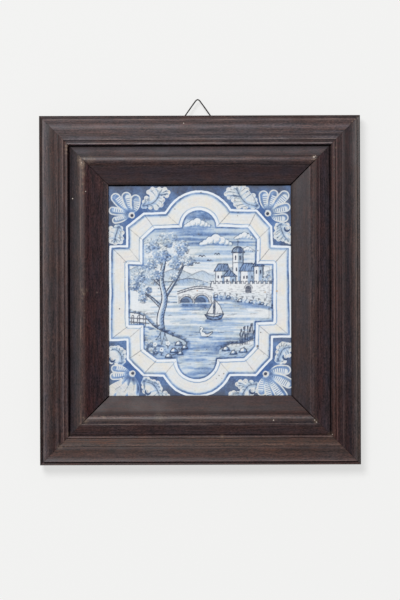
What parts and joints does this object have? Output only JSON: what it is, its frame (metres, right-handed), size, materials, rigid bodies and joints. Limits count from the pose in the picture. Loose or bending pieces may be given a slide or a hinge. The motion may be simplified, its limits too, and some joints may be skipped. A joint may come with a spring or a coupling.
{
  "type": "framed ceramic tile",
  "caption": "Blue and white painted ceramic tile held in a mitred, moulded dark wood frame with a wire loop for hanging on a wall.",
  "frame": {"origin": "middle of the frame's flat back, in the plane that lies on a floor or a wall", "axes": "+Z out of the painted face, +Y to the picture's top, where the hanging wire is, +X to the right of a person who looks at the face"},
  "size_m": [0.2984, 0.3406, 0.0214],
  "materials": {
    "glazed_tile": "gloss white tin glaze painted in cobalt blue",
    "dark_wood": "dark stained wood, satin and worn at the arrises",
    "bare_board": "aged unfinished softwood",
    "iron": "dark annealed iron"
  },
  "bodies": {
    "root": {"back_board": "bare_board", "carcass_bottom": "dark_wood", "carcass_left": "dark_wood", "carcass_right": "dark_wood", "carcass_top": "dark_wood", "hanging_wire": "iron", "outer_moulding_bottom": "dark_wood", "outer_moulding_left": "dark_wood", "outer_moulding_right": "dark_wood", "outer_moulding_top": "dark_wood", "sight_moulding_bottom": "dark_wood", "sight_moulding_left": "dark_wood", "sight_moulding_right": "dark_wood", "sight_moulding_top": "dark_wood", "tack_left": "iron", "tack_right": "iron", "tile": "glazed_tile"}
  },
  "joints": []
}
